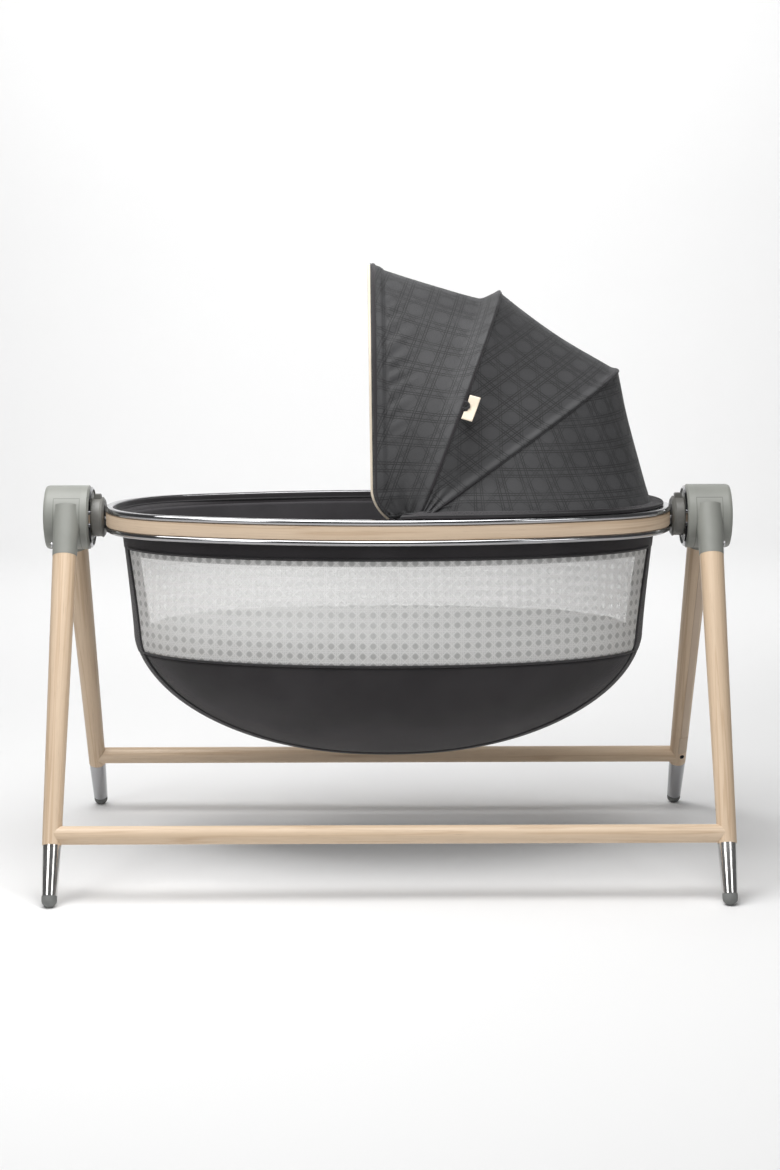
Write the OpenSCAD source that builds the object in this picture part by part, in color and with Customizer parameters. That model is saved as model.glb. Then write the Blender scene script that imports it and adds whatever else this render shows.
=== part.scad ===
// Rocking bassinet on an A-frame stand, with an oval basket that swings between two hubs
// and a folding canopy over one end. X runs along the basket, Y from front to back and Z up.
// The origin is on the floor below the middle of the basket.

/* [Stand] */
// Height of the swing axis above the floor
axis_z = 561; // [545:1:575]
// Distance from the middle of the stand to each pair of legs
leg_x = 520; // [518:1:524]
// Height at which the axes of a front leg and a rear leg would meet
apex_z = 645; // [635:1:655]
// Distance from the middle of the stand to each foot, front to back
foot_y = 330; // [310:1:340]
// Leg diameter at the mouth of its socket
leg_top_d = 38.7; // [36:0.1:40]
// Leg diameter at the top of its foot sleeve
leg_low_d = 29.6; // [28.8:0.1:31]
// Height of the side rails
rail_z = 100; // [95:1:120]
// Diameter of the side rails
rail_d = 28.6; // [24:0.2:28.8]

/* [Hubs] */
// Outer diameter of a hub
hub_d = 104; // [102:1:108]
// Inner face of a hub, measured from the middle of the stand
hub_in_x = 483.5; // [483.4:0.1:484]
// Outer end of a hub
hub_out_x = 561.5; // [560:0.5:565]
// Diameter of the swing shaft
shaft_d = 15; // [14:0.5:16]
// Radial gap between the shaft and its bearing
shaft_gap = 0.05; // [0.02:0.01:0.09]

/* [Basket ring] */
// Length of the oval ring over its rails
ring_len = 923; // [915:1:923]
// Width of the oval ring over its rails
ring_wid = 462; // [455:1:470]
// Radius of the two end arcs
ring_end_r = 175; // [170:1:180]
// Height of each metal rail
rail_h = 9.5; // [9:0.5:10]
// Height of the wooden band between the rails
band_h = 22; // [21:0.5:23]

/* [Basket] */
// Half length of the basket just under the ring
basket_a = 436; // [432:1:437]
// Half width of the basket just under the ring
basket_b = 211; // [208:1:211]
// Height of the lowest point of the basket
basket_low_z = 169; // [160:1:180]
// Height of the lower edge of the mesh
mesh_low_z = 348; // [345:1:355]
// Height of the upper edge of the mesh
mesh_top_z = 518; // [512:1:522]
// Thickness of the fabric wall with its padding
wall_t = 4; // [3:0.5:5]
// Thickness of the mattress
mattress_t = 40; // [30:1:45]

/* [Canopy] */
// Distance of the canopy pivot from the middle of the basket
pivot_x = 45.5; // [40:0.5:50]
// Height of the canopy pivot
pivot_z = 575; // [573:1:577]
// Diameter of the canopy wires
wire_d = 7; // [6:0.5:8]
// Reach of the front bow from the pivot
front_r = 398; // [390:1:405]
// Reach of the middle bow from the pivot
middle_r = 372.5; // [365:0.5:376]
// Reach of the rear bow from the pivot
rear_r = 393; // [385:0.5:396]
// Thickness of the canopy fabric
fabric_t = 2.4; // [2:0.1:3]

/* [Hidden] */
$fn = 96;

wood = [0.87, 0.75, 0.60];
charcoal = [0.24, 0.23, 0.25];
hub_grey = [0.58, 0.60, 0.56];

// Stations along a leg, measured from the floor along the leg's own axis
leg_tilt = atan2(foot_y, apex_z);
tip_r = 11.8;
tip_flat_r = 5;
tip_s = sqrt(tip_r * tip_r - tip_flat_r * tip_flat_r) / cos(leg_tilt);
sleeve_low_s = 18;
sleeve_low_d = 24.4;
sleeve_top_s = 96;
sleeve_top_d = 29;
tip_stem_s = 34;
tip_stem_d = 14;
low_spigot_s = 36;
low_spigot_d = 22;
mouth_s = 568;
top_spigot_s = 604;
top_spigot_d = 32;
rail_y = foot_y * (1 - rail_z / apex_z);
rail_s = rail_z / cos(leg_tilt);
dowel_d = 10;
dowel_len = 40;

// Stations along X in a hub
hub_r = hub_d / 2;
hub_wall = 5.5;
body_in_x = 497.5;
body_out_x = 542.5;
cap_edge_r = 12;
bearing_d = 35;
bearing_w = 11;
bearing_x = hub_in_x + 2;
shaft_in_x = 466;
shaft_out_x = 532;
socket_r = 19.6;
socket_top_r = 21.8;
socket_top_s = 652;
trim_t = 2.5;

clip_x = 497.6;
clip_t = 1.2;

// The covered cable channel runs down the inner side of the right rear leg
channel_turn = -69;
channel_w = 11.5;
channel_low_s = 160;
channel_top_s = 561;
end_block_s = 125;
inlet_s = 116;
inlet_d = 5.5;
inlet_body_d = 8;
inlet_len = 10;

// Coupling between hub and ring
coupling_r = 31.5;
coupling_in_x = ring_len / 2 + 0.3;
coupling_out_x = 482.9;
button_x = 473.5;
button_size = [11.2, 15.2];
button_gap = 0.35;
button_top = 38;
button_low = 19;
pocket_low = 11;

// Ring
ring_a = ring_len / 2;
ring_b = ring_wid / 2;
ring_side_r = (pow(ring_a - ring_end_r, 2) + ring_b * ring_b - ring_end_r * ring_end_r)
    / (2 * (ring_b - ring_end_r));
ring_half_angle = atan2(ring_a - ring_end_r, ring_side_r - ring_b);
ring_t = 14;
ring_z = axis_z - rail_h - band_h / 2;
ring_top_z = ring_z + 2 * rail_h + band_h;
band_t = 9;
band_inset = 1.5;
bolt_d = 6;
bolt_y = 12;
bolt_head_t = 3;
bracket_in_x = ring_len / 2 - 20;

// Basket
level_power = 2.15;
belly_a = 417.2;
belly_b = 203;
belly_top_z = 370;
mattress_a = 402;
mattress_b = 189;
board_t = 8;
border_top_z = 566;
flange_t = 3;
oval_points = 72;

// Canopy: angles from the ring's right end, upwards
front_angle = 100;
middle_angle = 69;
rear_angle = 34.6;
eye_w = 7;
eye_d = 15;
pin_d = 5;
pin_gap = 0.05;
front_w = 188;
middle_w = 197;
rear_w = 207.5;
elbow_r = 56;
wire_sides = 8;
pivot = [pivot_x, 0, pivot_z];
// Where a wire leaves its eye
eye_start = eye_d / 2 - 1.5;
// Where the panels start over a bow, their steps, and how far they stay from a bow
panel_start = 12;
panel_steps = 24;
panel_cols = 6;
panel_gap = 0.07;
hood_middle = [120, 0, 640];

function unit(v) = v / norm(v);
function mix(a, b, t) = a + (b - a) * t;

// ---- stand ----------------------------------------------------------------

// Places children in a leg's own frame: Z up along the leg from the floor
module on_leg(side, depth) {
    translate([side * leg_x, depth * foot_y, 0]) rotate([depth * leg_tilt, 0, 0]) children();
}

module leg_solid() {
    translate([0, 0, low_spigot_s]) cylinder(d = low_spigot_d, h = sleeve_top_s - low_spigot_s);
    translate([0, 0, sleeve_top_s])
        cylinder(d1 = leg_low_d, d2 = leg_top_d, h = mouth_s - sleeve_top_s);
    translate([0, 0, mouth_s]) cylinder(d = top_spigot_d, h = top_spigot_s - mouth_s);
}

module leg(side, depth) {
    color(wood) difference() {
        on_leg(side, depth) leg_solid();
        rail_dowel(side, depth);
        leg_screw(side, depth);
    }
}

module foot_sleeve(side, depth) {
    color("silver") on_leg(side, depth) difference() {
        translate([0, 0, sleeve_low_s])
            cylinder(d1 = sleeve_low_d, d2 = sleeve_top_d, h = sleeve_top_s - sleeve_low_s);
        cylinder(d = tip_stem_d, h = low_spigot_s);
        translate([0, 0, low_spigot_s]) cylinder(d = low_spigot_d, h = sleeve_top_s);
    }
}

module foot_tip(side, depth) {
    color([0.25, 0.25, 0.26]) difference() {
        on_leg(side, depth) {
            intersection() {
                translate([0, 0, tip_s]) sphere(r = tip_r);
                translate([0, 0, -20]) cylinder(r = 2 * tip_r, h = 20 + tip_s);
            }
            translate([0, 0, tip_s]) cylinder(r = tip_r, h = sleeve_low_s - tip_s);
            translate([0, 0, tip_s]) cylinder(d = tip_stem_d, h = tip_stem_s - tip_s);
        }
        translate([side * leg_x, depth * foot_y, -30]) cube([60, 60, 60], center = true);
    }
}

module rail_dowel(side, depth) {
    translate([side * (leg_x - dowel_len / 2), depth * rail_y, rail_z]) rotate([0, 90, 0])
        cylinder(d = dowel_d, h = dowel_len, center = true, $fn = 32);
}

module rail_dowels() {
    color(wood) for (side = [-1, 1], depth = [-1, 1]) rail_dowel(side, depth);
}

module side_rail(depth) {
    color(wood) difference() {
        translate([0, depth * rail_y, rail_z]) rotate([0, 90, 0])
            cylinder(d = rail_d, h = 2 * leg_x, center = true);
        for (side = [-1, 1]) {
            on_leg(side, depth) translate([0, 0, sleeve_top_s])
                cylinder(d1 = leg_low_d, d2 = leg_top_d, h = mouth_s - sleeve_top_s);
            translate([side * (leg_x + 10), depth * rail_y, rail_z]) cube([20, 60, 60], center = true);
            rail_dowel(side, depth);
        }
    }
}

// ---- hubs -----------------------------------------------------------------

// Turns a part drawn along Z into one drawn along X at the swing axis
module on_axis(side, x) {
    translate([side * x, 0, axis_z]) rotate([0, side * 90, 0]) children();
}

module leg_screw(side, depth) {
    on_leg(side, depth) translate([0, 0, mouth_s + 20]) rotate([0, side * 90, 0])
        translate([0, 0, 4]) cylinder(d = 5, h = 18, $fn = 24);
}

module leg_screws() {
    color("silver") for (side = [-1, 1], depth = [-1, 1]) {
        leg_screw(side, depth);
        on_leg(side, depth) translate([0, 0, mouth_s + 20]) rotate([0, side * 90, 0])
            translate([0, 0, 20.4]) cylinder(d = 8.5, h = 2, $fn = 32);
    }
}

module hub_housing(side) {
    color(hub_grey) difference() {
        union() {
            on_axis(side, body_in_x) cylinder(r = hub_r, h = body_out_x - body_in_x);
            for (depth = [-1, 1])
                on_leg(side, depth) translate([0, 0, mouth_s])
                    cylinder(r1 = socket_r, r2 = socket_top_r, h = socket_top_s - mouth_s);
        }
        on_axis(side, body_in_x - 1) cylinder(r = hub_r - hub_wall, h = body_out_x - body_in_x + 2);
        for (depth = [-1, 1]) {
            on_leg(side, depth) translate([0, 0, mouth_s - 1])
                cylinder(d = top_spigot_d, h = top_spigot_s - mouth_s + 1);
            leg_screw(side, depth);
            on_leg(side, depth) translate([0, 0, mouth_s + 20]) rotate([0, side * 90, 0])
                translate([0, 0, 20.4]) cylinder(d = 8.5, h = 4, $fn = 32);
        }
    }
}

module hub_end_cap(side) {
    dome = hub_out_x - body_out_x;
    color(hub_grey) on_axis(side, body_out_x) difference() {
        rotate_extrude() intersection() {
            union() {
                square([hub_r, dome - cap_edge_r]);
                square([hub_r - cap_edge_r, dome]);
                translate([hub_r - cap_edge_r, dome - cap_edge_r]) circle(r = cap_edge_r);
            }
            translate([0, dome - 240]) circle(r = 240, $fn = 192);
            square([hub_r, dome]);
        }
        translate([0, 0, -1]) cylinder(r = hub_r - hub_wall, h = dome - 6);
    }
}

module hub_face(side) {
    color(hub_grey) on_axis(side, hub_in_x) difference() {
        rotate_extrude() polygon([
            [shaft_d / 2 + 3, 0], [hub_r - 5, 0], [hub_r, 4], [hub_r, body_in_x - hub_in_x],
            [bearing_d / 2 + 5, body_in_x - hub_in_x], [bearing_d / 2, body_in_x - hub_in_x],
            [bearing_d / 2, bearing_x - hub_in_x], [shaft_d / 2 + 3, bearing_x - hub_in_x]
        ]);
        for (turn = [30, 150, 270]) rotate(turn) translate([hub_r - 12, 0, -1]) {
            cylinder(d = 4, h = 30, $fn = 24);
            cylinder(d = 8, h = 4, $fn = 32);
        }
    }
}

module hub_screws() {
    color("silver") for (side = [-1, 1]) on_axis(side, hub_in_x)
        for (turn = [30, 150, 270]) rotate(turn) translate([hub_r - 12, 0, 0]) {
            cylinder(d = 4, h = body_in_x - hub_in_x, $fn = 24);
            cylinder(d = 8, h = 3, $fn = 32);
        }
}

module hub_trim(side) {
    color("silver") on_axis(side, hub_in_x - trim_t) rotate_extrude()
        polygon([[hub_r - 6.5, 0], [hub_r - 5, 0], [hub_r - 2, trim_t], [hub_r - 6.5, trim_t]]);
}

module bearing(side) {
    color("silver") on_axis(side, bearing_x) difference() {
        cylinder(d = bearing_d, h = bearing_w);
        translate([0, 0, -1]) cylinder(r = shaft_d / 2 + shaft_gap, h = bearing_w + 2);
    }
}

// ---- electric drive in the right hub --------------------------------------

module magnet_arm() {
    color([0.35, 0.36, 0.38]) on_axis(1, 507) difference() {
        union() {
            cylinder(d = 26, h = 8);
            linear_extrude(6) intersection() {
                circle(r = 42);
                polygon([[0, -8], [0, 8], [60, 22], [60, -22]]);
            }
        }
        translate([0, 0, -1]) cylinder(d = shaft_d, h = 10);
    }
}

module drive_coil() {
    color([0.72, 0.42, 0.22]) on_axis(1, 517) linear_extrude(10) intersection() {
        difference() {
            circle(r = hub_r - hub_wall);
            circle(r = 30);
        }
        polygon([[0, 0], [60, 20], [60, -20]]);
    }
}

module control_board() {
    board_x = 544;
    color([0.12, 0.35, 0.2]) {
        translate([board_x, -32, axis_z - 24]) cube([1.6, 64, 48]);
        for (y = [-26, 26], z = [-18, 18])
            translate([board_x + 1.6, y, axis_z + z]) rotate([0, 90, 0])
                cylinder(d = 6, h = hub_out_x - 7 - board_x - 1.6, $fn = 24);
        translate([board_x - 2.2, -8, axis_z - 8]) cube([2.2, 16, 16]);
    }
}

module channel_strip(width, low, top) {
    on_leg(1, 1) rotate([0, 0, channel_turn]) translate([9, -width / 2, low]) cube([20, width, top - low]);
}

module cable_cover() {
    color(wood) {
        intersection() {
            channel_strip(channel_w, channel_low_s, channel_top_s);
            on_leg(1, 1) difference() {
                cover_cone(1);
                cover_cone(-2);
            }
        }
        intersection() {
            channel_strip(channel_w + 4, end_block_s, channel_low_s);
            on_leg(1, 1) difference() {
                cover_cone(1.8);
                cover_cone(-2);
            }
        }
    }
}

module cover_cone(grow) {
    translate([0, 0, sleeve_top_s])
        cylinder(d1 = leg_low_d + 2 * grow, d2 = leg_top_d + 2 * grow, h = mouth_s - sleeve_top_s);
}

module channel_cut() {
    intersection() {
        union() {
            channel_strip(channel_w, channel_low_s, channel_top_s);
            channel_strip(channel_w + 4, end_block_s, channel_low_s);
        }
        on_leg(1, 1) difference() {
            cover_cone(5);
            cover_cone(-2);
        }
    }
}

module inlet_place() {
    on_leg(1, 1) rotate([0, 0, channel_turn]) translate([5.6, 0, inlet_s]) rotate([0, 90, 0]) children();
}

module dc_inlet() {
    color([0.1, 0.1, 0.11]) inlet_place() difference() {
        cylinder(d = inlet_body_d, h = inlet_len, $fn = 32);
        translate([0, 0, 1.2]) cylinder(d = inlet_d, h = inlet_len, $fn = 32);
    }
}

module leg_with_channel() {
    color(wood) difference() {
        leg(1, 1);
        channel_cut();
        inlet_place() cylinder(d = inlet_body_d, h = inlet_len + 5, $fn = 32);
    }
}

// ---- basket carrier -------------------------------------------------------

module swing_shaft(side) {
    color("silver") on_axis(side, shaft_in_x) difference() {
        cylinder(d = shaft_d, h = shaft_out_x - shaft_in_x);
        translate([0, 0, clip_x - shaft_in_x]) clip_groove();
    }
}

module clip_groove() {
    difference() {
        cylinder(d = shaft_d + 4, h = clip_t);
        translate([0, 0, -1]) cylinder(d = shaft_d - 2, h = clip_t + 2);
    }
}

module shaft_clips() {
    color([0.3, 0.3, 0.32]) for (side = [-1, 1]) on_axis(side, clip_x) difference() {
        cylinder(d = shaft_d + 8, h = clip_t);
        translate([0, 0, -1]) cylinder(d = shaft_d - 2, h = clip_t + 2);
        translate([0, -3, -1]) cube([20, 6, clip_t + 2]);
    }
}

module button_pocket(side) {
    translate([side * button_x, 0, axis_z + pocket_low + 20])
        cube([button_size[0] + 2 * button_gap, button_size[1] + 2 * button_gap, 40], center = true);
}

module coupling(side) {
    color(hub_grey) difference() {
        on_axis(side, coupling_in_x) rotate_extrude() polygon([
            [0, 0], [coupling_r - 3, 0], [coupling_r + 1.5, 3], [coupling_r, 7],
            [coupling_r, coupling_out_x - coupling_in_x - 1.5],
            [coupling_r - 1.5, coupling_out_x - coupling_in_x], [0, coupling_out_x - coupling_in_x]
        ]);
        on_axis(side, shaft_in_x) cylinder(d = shaft_d, h = 40);
        button_pocket(side);
        ring_bolt_pair(side);
    }
}

module ring_bolt_pair(side) {
    for (y = [-bolt_y, bolt_y]) translate([0, y, 0]) on_axis(side, bracket_in_x)
        cylinder(d = bolt_d, h = 28, $fn = 32);
}

module ring_brackets() {
    bracket_out_x = ring_a - band_inset - band_t - 1;
    color("silver") for (side = [-1, 1]) {
        difference() {
            translate([side * (bracket_in_x + bracket_out_x) / 2, 0, axis_z])
                cube([bracket_out_x - bracket_in_x, 36, band_h - 0.6], center = true);
            ring_bolt_pair(side);
        }
        ring_bolt_pair(side);
        for (y = [-bolt_y, bolt_y]) translate([0, y, 0]) on_axis(side, bracket_in_x - bolt_head_t)
            cylinder(d = 10, h = bolt_head_t, $fn = 32);
    }
}

module release_button(side) {
    color(hub_grey) translate([side * button_x, 0, axis_z]) union() {
        translate([-button_size[0] / 2, -button_size[1] / 2, button_low])
            cube([button_size[0], button_size[1], button_top - button_low - 1.5]);
        translate([-button_size[0] / 2 + 1, -button_size[1] / 2 + 1, button_top - 1.5])
            cube([button_size[0] - 2, button_size[1] - 2, 1.5]);
    }
}

// A swept wire: p is its path, r its radius, start a direction across its first stretch
function tangent(p, i) = unit(p[min(i + 1, len(p) - 1)] - p[max(i - 1, 0)]);
function across(v, t) = unit(v - (v * t) * t);

module wire(p, r, start) {
    last = len(p) - 1;
    side_dir = [
        for (i = 0, m = across(start, tangent(p, 0)); i <= last;
            i = i + 1, m = across(m, tangent(p, min(i, last)))) m
    ];
    points = [
        for (i = [0 : last]) let(t = tangent(p, i), u = side_dir[i], v = cross(t, u))
            for (k = [0 : wire_sides - 1]) let(a = 360 * k / wire_sides)
                p[i] + r * (cos(a) * u + sin(a) * v)
    ];
    faces = concat(
        [[for (k = [0 : wire_sides - 1]) k]],
        [[for (k = [wire_sides - 1 : -1 : 0]) last * wire_sides + k]],
        [
            for (i = [0 : last - 1], k = [0 : wire_sides - 1]) let(n = (k + 1) % wire_sides)
                [i * wire_sides + k, (i + 1) * wire_sides + k, (i + 1) * wire_sides + n, i * wire_sides + n]
        ]
    );
    polyhedron(points, faces, convexity = 6);
}

module button_spring(side) {
    turns = 4;
    wire_r = 0.45;
    coil_r = 3.2;
    low = pocket_low + wire_r;
    high = button_low - wire_r;
    steps = turns * 12;
    path = [
        for (i = [0 : steps]) let(a = 360 * turns * i / steps)
            [coil_r * cos(a), coil_r * sin(a), low + (high - low) * i / steps]
    ];
    color("silver") translate([side * button_x, 0, axis_z]) wire(path, wire_r, [1, 0, 0]);
}

// ---- oval ring ------------------------------------------------------------

// Sweeps a profile, drawn inwards from x = 0, round the oval as four arcs
module oval_sweep() {
    for (turn = [0, 180]) rotate(turn) {
        translate([0, ring_b - ring_side_r, 0]) rotate(90 - ring_half_angle)
            rotate_extrude(angle = 2 * ring_half_angle, $fn = 480)
                translate([ring_side_r, 0]) children();
        translate([ring_a - ring_end_r, 0, 0]) rotate(ring_half_angle - 90)
            rotate_extrude(angle = 180 - 2 * ring_half_angle, $fn = 192)
                translate([ring_end_r, 0]) children();
    }
}

module rail_profile() {
    r = rail_h / 2;
    translate([-r, r]) circle(r = r, $fn = 48);
    translate([r - ring_t, r]) circle(r = r, $fn = 48);
    translate([r - ring_t, 0]) square([ring_t - rail_h, rail_h]);
}

module ring_rail(z) {
    color("silver") translate([0, 0, z]) oval_sweep() rail_profile();
}

module ring_band() {
    color(wood) difference() {
        translate([0, 0, ring_z + rail_h]) oval_sweep()
            translate([-band_inset - band_t, 0]) square([band_t, band_h]);
        for (side = [-1, 1]) ring_bolt_pair(side);
    }
}

// ---- basket ---------------------------------------------------------------

// Half length and half width of the basket at height z
function belly_depth(z) = (belly_top_z - z) / (belly_top_z - basket_low_z);
function belly_scale(z) = pow(max(0, 1 - pow(belly_depth(z), 1.7)), 1 / 2.25);
function upper_part(z) = (z - belly_top_z) / (border_top_z - belly_top_z);
function half_length(z) = z < belly_top_z
    ? belly_a * belly_scale(z) : mix(belly_a, basket_a, pow(upper_part(z), 1.2));
function half_width(z) = z < belly_top_z
    ? belly_b * belly_scale(z) : mix(belly_b, basket_b, upper_part(z));

function power_oval(a, b) = [
    for (k = [0 : oval_points - 1]) let(t = 360 * k / oval_points)
        [
            a * sign(cos(t)) * pow(abs(cos(t)), 2 / level_power),
            b * sign(sin(t)) * pow(abs(sin(t)), 2 / level_power)
        ]
];

// A solid through level ovals at the heights in zs, drawn in by inset
module basket_solid(zs, inset, drop = 0) {
    last = len(zs) - 1;
    points = [
        for (z = zs) for (q = power_oval(half_length(z) - inset, half_width(z) - inset))
            [q[0], q[1], z + drop]
    ];
    faces = concat(
        [[for (k = [0 : oval_points - 1]) k]],
        [[for (k = [oval_points - 1 : -1 : 0]) last * oval_points + k]],
        [
            for (i = [0 : last - 1], k = [0 : oval_points - 1])
                let(n = (k + 1) % oval_points, low = i * oval_points, top = low + oval_points)
                [low + k, top + k, top + n, low + n]
        ]
    );
    polyhedron(points, faces, convexity = 4);
}

module basket_wall(zs) {
    last = len(zs) - 1;
    difference() {
        basket_solid(zs, 0);
        basket_solid(concat([zs[0] - 2], zs, [zs[last] + 2]), wall_t);
    }
}

// The outline of the ring, drawn in by inset
module ring_outline(inset) {
    joint_x = ring_side_r * sin(ring_half_angle);
    intersection() {
        translate([0, ring_b - ring_side_r]) circle(r = ring_side_r - inset, $fn = 480);
        translate([0, ring_side_r - ring_b]) circle(r = ring_side_r - inset, $fn = 480);
        square([2 * joint_x, 2 * ring_b], center = true);
    }
    for (side = [-1, 1]) translate([side * (ring_a - ring_end_r), 0])
        circle(r = ring_end_r - inset, $fn = 192);
}

// The wall above the mesh, with the sewn flange that carries the basket on the ring
module basket_border() {
    color(charcoal) {
        basket_wall([mesh_top_z, 545, border_top_z]);
        translate([0, 0, border_top_z - flange_t]) linear_extrude(flange_t) difference() {
            ring_outline(ring_t + 0.2);
            polygon(power_oval(
                half_length(border_top_z) - wall_t / 2, half_width(border_top_z) - wall_t / 2));
            for (depth = [-1, 1]) translate([pivot_x - 13, depth * (basket_b + 10) - 10]) square([26, 20]);
            for (side = [-1, 1]) translate([side * (bracket_in_x + 6) - 10.3, -19]) square([20.6, 38]);
        }
    }
}

module mesh_wall() {
    color([0.85, 0.86, 0.86]) basket_wall([mesh_low_z, 390, 430, 475, mesh_top_z]);
}

belly_levels = [for (a = [8 : 7 : 90]) belly_top_z - (belly_top_z - basket_low_z) * cos(a)];

module basket_belly() {
    zs = concat([for (z = belly_levels) if (z < mesh_low_z - 4) z], [mesh_low_z]);
    color(charcoal) difference() {
        basket_solid(zs, 0);
        difference() {
            basket_solid(concat([for (z = zs) if (z > basket_low_z + 9) z], [mesh_low_z + 4]), wall_t + 2);
            board_ledge();
        }
    }
}

// The ledge that the mattress board rests on
module board_ledge() {
    translate([0, 0, mesh_low_z - board_t - 4 - 6]) linear_extrude(6) difference() {
        square([2 * basket_a, 2 * basket_b], center = true);
        polygon(power_oval(mattress_a - 28, mattress_b - 26));
    }
}

module mattress_board() {
    color([0.75, 0.7, 0.6]) translate([0, 0, mesh_low_z - board_t - 4]) linear_extrude(board_t)
        polygon(power_oval(mattress_a - 8, mattress_b - 6));
}

module mattress() {
    color([0.88, 0.88, 0.88]) translate([0, 0, mesh_low_z - 3.6]) linear_extrude(mattress_t + 3.6)
        polygon(power_oval(mattress_a, mattress_b));
}

// ---- canopy ---------------------------------------------------------------

function along(angle) = [cos(angle), 0, sin(angle)];
function ahead(angle) = [-sin(angle), 0, cos(angle)];

// A bow is an arch: w is its half width and r its reach, while t runs over 0 to 180 degrees.
// The shoulder sets how long the sides stay upright and the crown how round the top is.
function rise(t) = pow(max(sin(t), 0), 1.05);
function arch(w, r, shoulder, crown, t) = [
    -w * sign(cos(t)) * pow(max(1 - pow(rise(t), shoulder), 0), crown), r * rise(t)
];
function lean(r) = (front_r - r) * elbow_r / (front_r - elbow_r);
function front_point(t, grow = 0) = let(q = arch(front_w + grow, front_r + grow, 2.1, 0.48, t))
    pivot + [0, q[0], 0] + q[1] * along(front_angle) + lean(q[1]) * ahead(front_angle);
function middle_point(t, grow = 0) = let(q = arch(middle_w + grow, middle_r + grow, 1.9, 0.52, t))
    pivot + [0, q[0], 0] + q[1] * along(middle_angle);
function rear_point(t, grow = 0) = let(q = arch(rear_w + grow, rear_r + grow, 1.1, 0.5, t))
    pivot + [0, q[0], 0] + q[1] * along(rear_angle);

module bow_eyes(w) {
    for (side = [-1, 1]) translate([pivot_x, side * w, pivot_z]) rotate([90, 0, 0]) difference() {
        cylinder(d = eye_d, h = eye_w, center = true, $fn = 48);
        cylinder(r = pin_d / 2 + pin_gap, h = eye_w + 2, center = true, $fn = 48);
    }
}

function turn_at(part) = asin(pow(part, 1 / 1.05));

module canopy_bow(w, angle, path) {
    color([0.6, 0.6, 0.62]) {
        bow_eyes(w);
        wire(path, wire_d / 2, ahead(angle));
    }
}

function bow_turns(first) = [for (i = [0 : 36]) first + (180 - 2 * first) * i / 36];

module canopy_bow_middle() {
    canopy_bow(middle_w, middle_angle, [for (t = bow_turns(turn_at(eye_start / middle_r))) middle_point(t)]);
}

module canopy_bow_rear() {
    canopy_bow(rear_w, rear_angle, [for (t = bow_turns(turn_at(eye_start / rear_r))) rear_point(t)]);
}

module canopy_bow_front() {
    first = turn_at(elbow_r / front_r);
    start = asin(eye_start / elbow_r);
    elbow = [
        for (i = [0 : 6]) let(s = start + (84 - start) * i / 6)
            [elbow_r * (1 - cos(s)), elbow_r * sin(s)]
    ];
    near = [
        for (q = elbow) pivot + [0, -front_w, 0] + q[0] * along(front_angle) + q[1] * ahead(front_angle)
    ];
    far = [for (i = [6 : -1 : 0]) [near[i][0], front_w, near[i][2]]];
    color([0.6, 0.6, 0.62]) {
        bow_eyes(front_w);
        wire(concat(near, [for (t = bow_turns(first)) front_point(t)], far), wire_d / 2, [0, 1, 0]);
    }
}

module canopy_hinge(depth) {
    plate_y = ring_b - ring_t - 2.1;
    plate_low_z = ring_z + 6;
    plate_top_z = ring_top_z - 0.7;
    pin_end_y = front_w - eye_w / 2 - 1.5;
    color([0.35, 0.35, 0.37]) translate([pivot_x, 0, 0]) {
        translate([0, depth * (plate_y - 1.5), (plate_low_z + plate_top_z) / 2])
            cube([24, 3, plate_top_z - plate_low_z], center = true);
        translate([0, depth * (plate_y - 2), pivot_z]) rotate([depth * 90, 0, 0])
            cylinder(d = pin_d, h = plate_y - 2 - pin_end_y, $fn = 48);
        translate([0, depth * pin_end_y, pivot_z]) rotate([depth * 90, 0, 0])
            cylinder(d = 10, h = 2, $fn = 48);
    }
}

function panel_turns() = [
    for (i = [0 : panel_steps]) panel_start + (180 - 2 * panel_start) * i / panel_steps
];
function inward(q, t) = q - unit([q[0] - hood_middle[0], q[1] * 1.2, q[2] - hood_middle[2]]) * t;

// A sheet of fabric through a grid of points, thickened inwards
module fabric_sheet(grid) {
    rows = len(grid);
    cols = len(grid[0]);
    count = rows * cols;
    points = concat([for (row = grid) each row], [for (row = grid) for (q = row) inward(q, fabric_t)]);
    over = count - cols;
    faces = concat(
        [
            for (i = [0 : rows - 2], j = [0 : cols - 2]) let(k = i * cols + j)
                [k, k + 1, k + cols + 1, k + cols]
        ],
        [
            for (i = [0 : rows - 2], j = [0 : cols - 2]) let(k = count + i * cols + j)
                [k, k + cols, k + cols + 1, k + 1]
        ],
        [for (i = [0 : rows - 2]) let(k = i * cols) [k, k + cols, k + cols + count, k + count]],
        [for (i = [1 : rows - 1]) let(k = i * cols + cols - 1) [k, k - cols, k - cols + count, k + count]],
        [for (j = [0 : cols - 2]) [j + 1, j, count + j, count + j + 1]],
        [for (j = [0 : cols - 2]) let(k = over + j) [k, k + 1, k + 1 + count, k + count]]
    );
    polyhedron(points, faces, convexity = 4);
}

// Rows run from one bow to the next, columns over the bows; each row stays clear of both wires
function edge_gap(a, b) = min(0.3, max(panel_gap, 7 / norm(a - b)));
function between(row_a, row_b) = [
    for (j = [0 : panel_cols]) [
        for (i = [0 : panel_steps]) let(g = edge_gap(row_a[i], row_b[i]))
            mix(row_a[i], row_b[i], mix(g, 1 - g, j / panel_cols))
    ]
];

module canopy_panel_front() {
    color(charcoal) fabric_sheet(between(
        [for (t = panel_turns()) front_point(t, 5)], [for (t = panel_turns()) middle_point(t, 5)]));
}

module canopy_panel_middle() {
    color(charcoal) fabric_sheet(between(
        [for (t = panel_turns()) middle_point(t, 5)], [for (t = panel_turns()) rear_point(t, 5)]));
}

// The rear panel comes down to the inside of the hem
function hem_point(t) = [
    pivot_x + 20 + 361 * pow(max(sin(t), 0), 0.9),
    -204 * sign(cos(t)) * pow(abs(cos(t)), 0.62),
    ring_top_z + 9
];

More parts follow.
